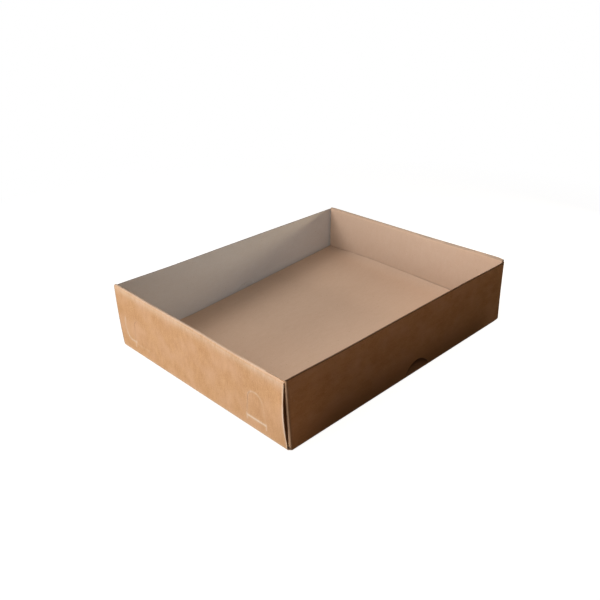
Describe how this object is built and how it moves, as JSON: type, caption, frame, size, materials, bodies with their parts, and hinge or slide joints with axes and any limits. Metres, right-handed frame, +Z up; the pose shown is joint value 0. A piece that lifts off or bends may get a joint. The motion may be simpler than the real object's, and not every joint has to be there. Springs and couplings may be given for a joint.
{
  "type": "cardboard tray box",
  "caption": "Open rectangular tray box folded from one sheet of brown board, with single long walls, rolled double end walls and pressed-in corner locks, for holding small goods.",
  "frame": {"origin": "centre of the underside", "axes": "+X along the length, +Y across the width, +Z up out of the open top"},
  "size_m": [0.253, 0.2, 0.055],
  "materials": {
    "brown_board": "matt unbleached board"
  },
  "bodies": {
    "root": {"tray": "brown_board"}
  },
  "joints": []
}
